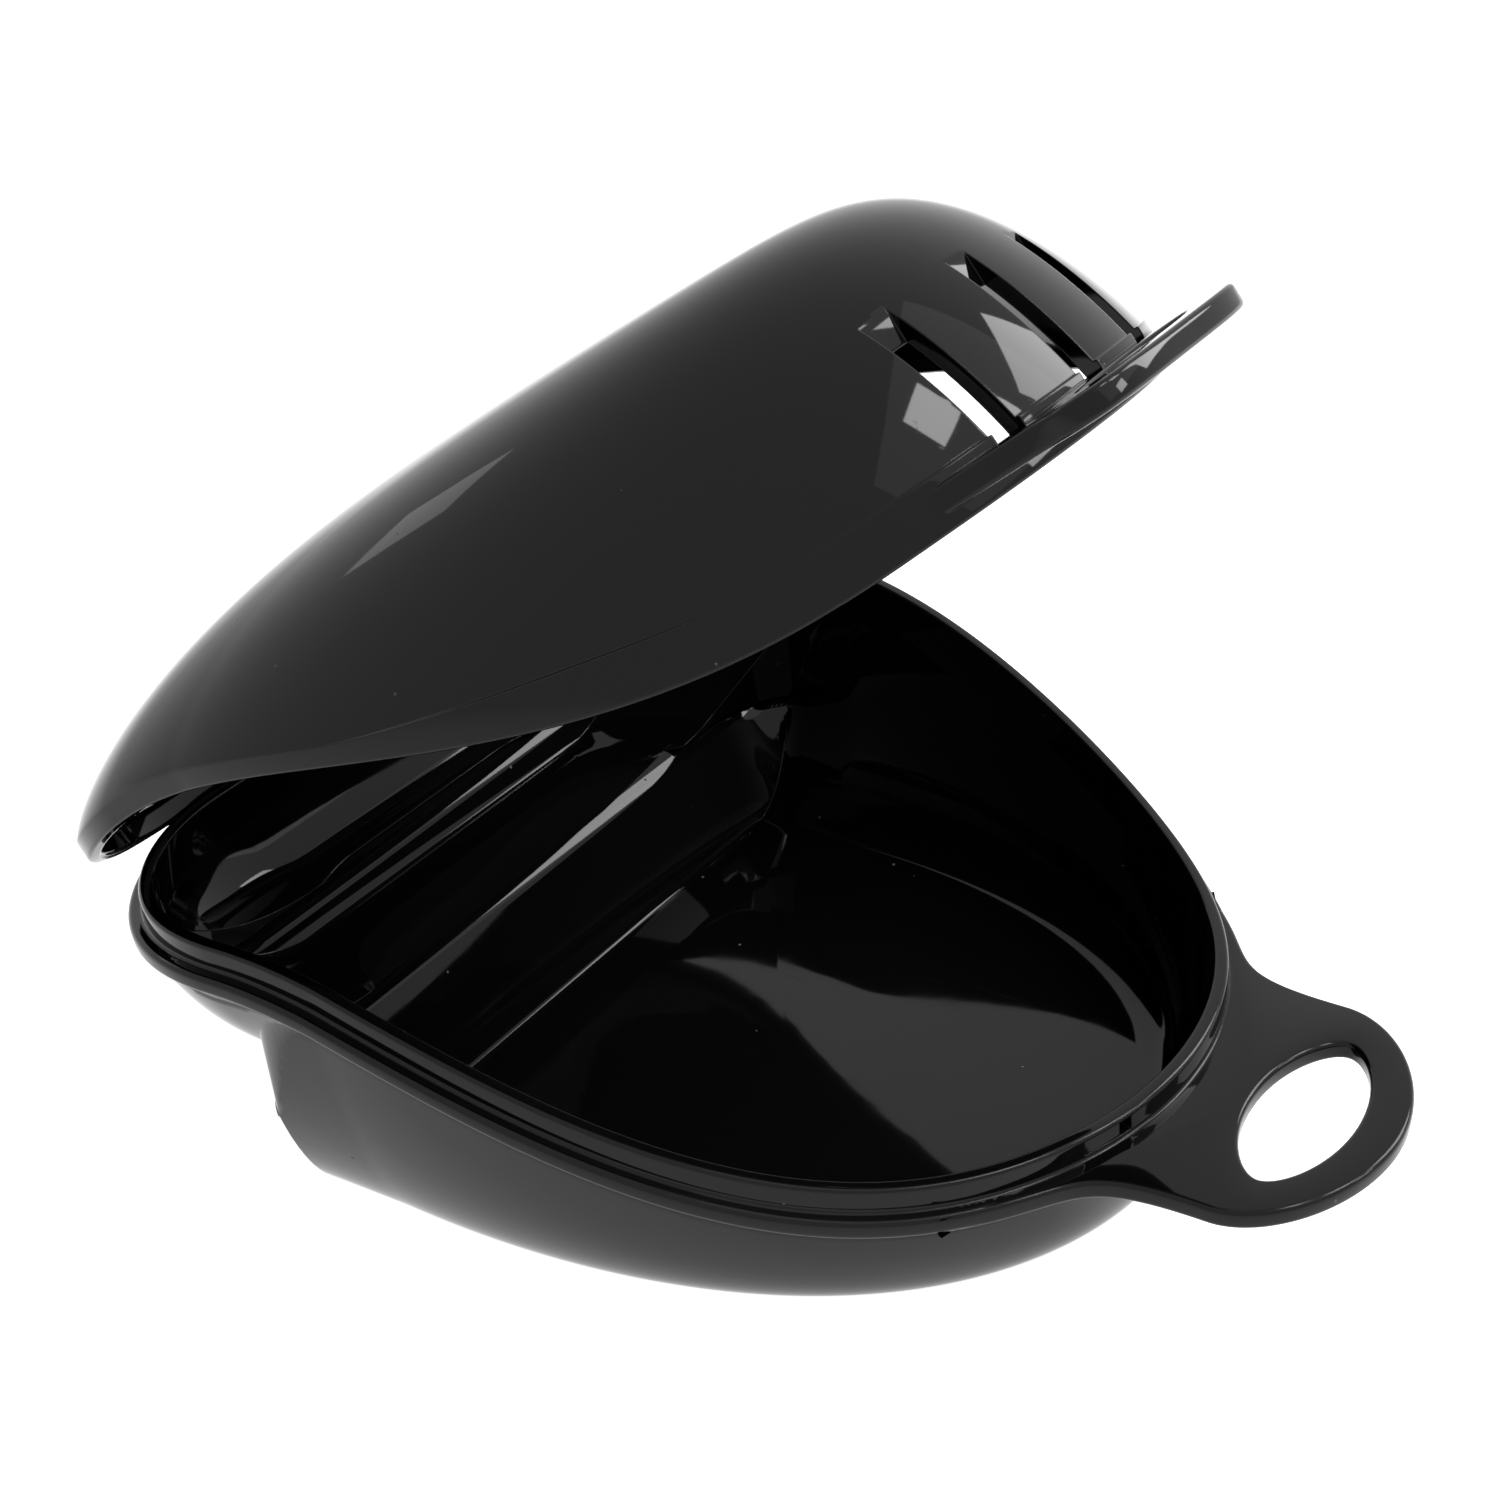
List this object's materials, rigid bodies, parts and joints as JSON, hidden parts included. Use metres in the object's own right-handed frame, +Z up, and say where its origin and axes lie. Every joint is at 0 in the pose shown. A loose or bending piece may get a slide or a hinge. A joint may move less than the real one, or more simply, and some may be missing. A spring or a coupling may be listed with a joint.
{
  "type": "mouth guard case",
  "caption": "Vented clamshell case that stores and airs a mouth guard, with a stepped tray, a hinged dome lid and a finger ring on each shell.",
  "frame": {"origin": "centre of the tray's flat underside", "axes": "+X across the case along the hinge, -Y towards the narrow nose with the ring tabs, +Z up"},
  "size_m": [0.079, 0.0964, 0.0723],
  "materials": {
    "tray_plastic": "gloss moulded",
    "lid_plastic": "gloss moulded",
    "pin_steel": "drawn steel"
  },
  "bodies": {
    "tray": {"base_tray": "tray_plastic", "hinge_pin": "pin_steel"},
    "lid": {"lid": "lid_plastic"}
  },
  "joints": [
    {"name": "lid_hinge", "type": "hinge", "parent": "tray", "child": "lid", "pos_m": [0, 0.04807, 0.0241], "axis": [-1, 0, 0], "range_deg": [-35.95, 70]}
  ]
}
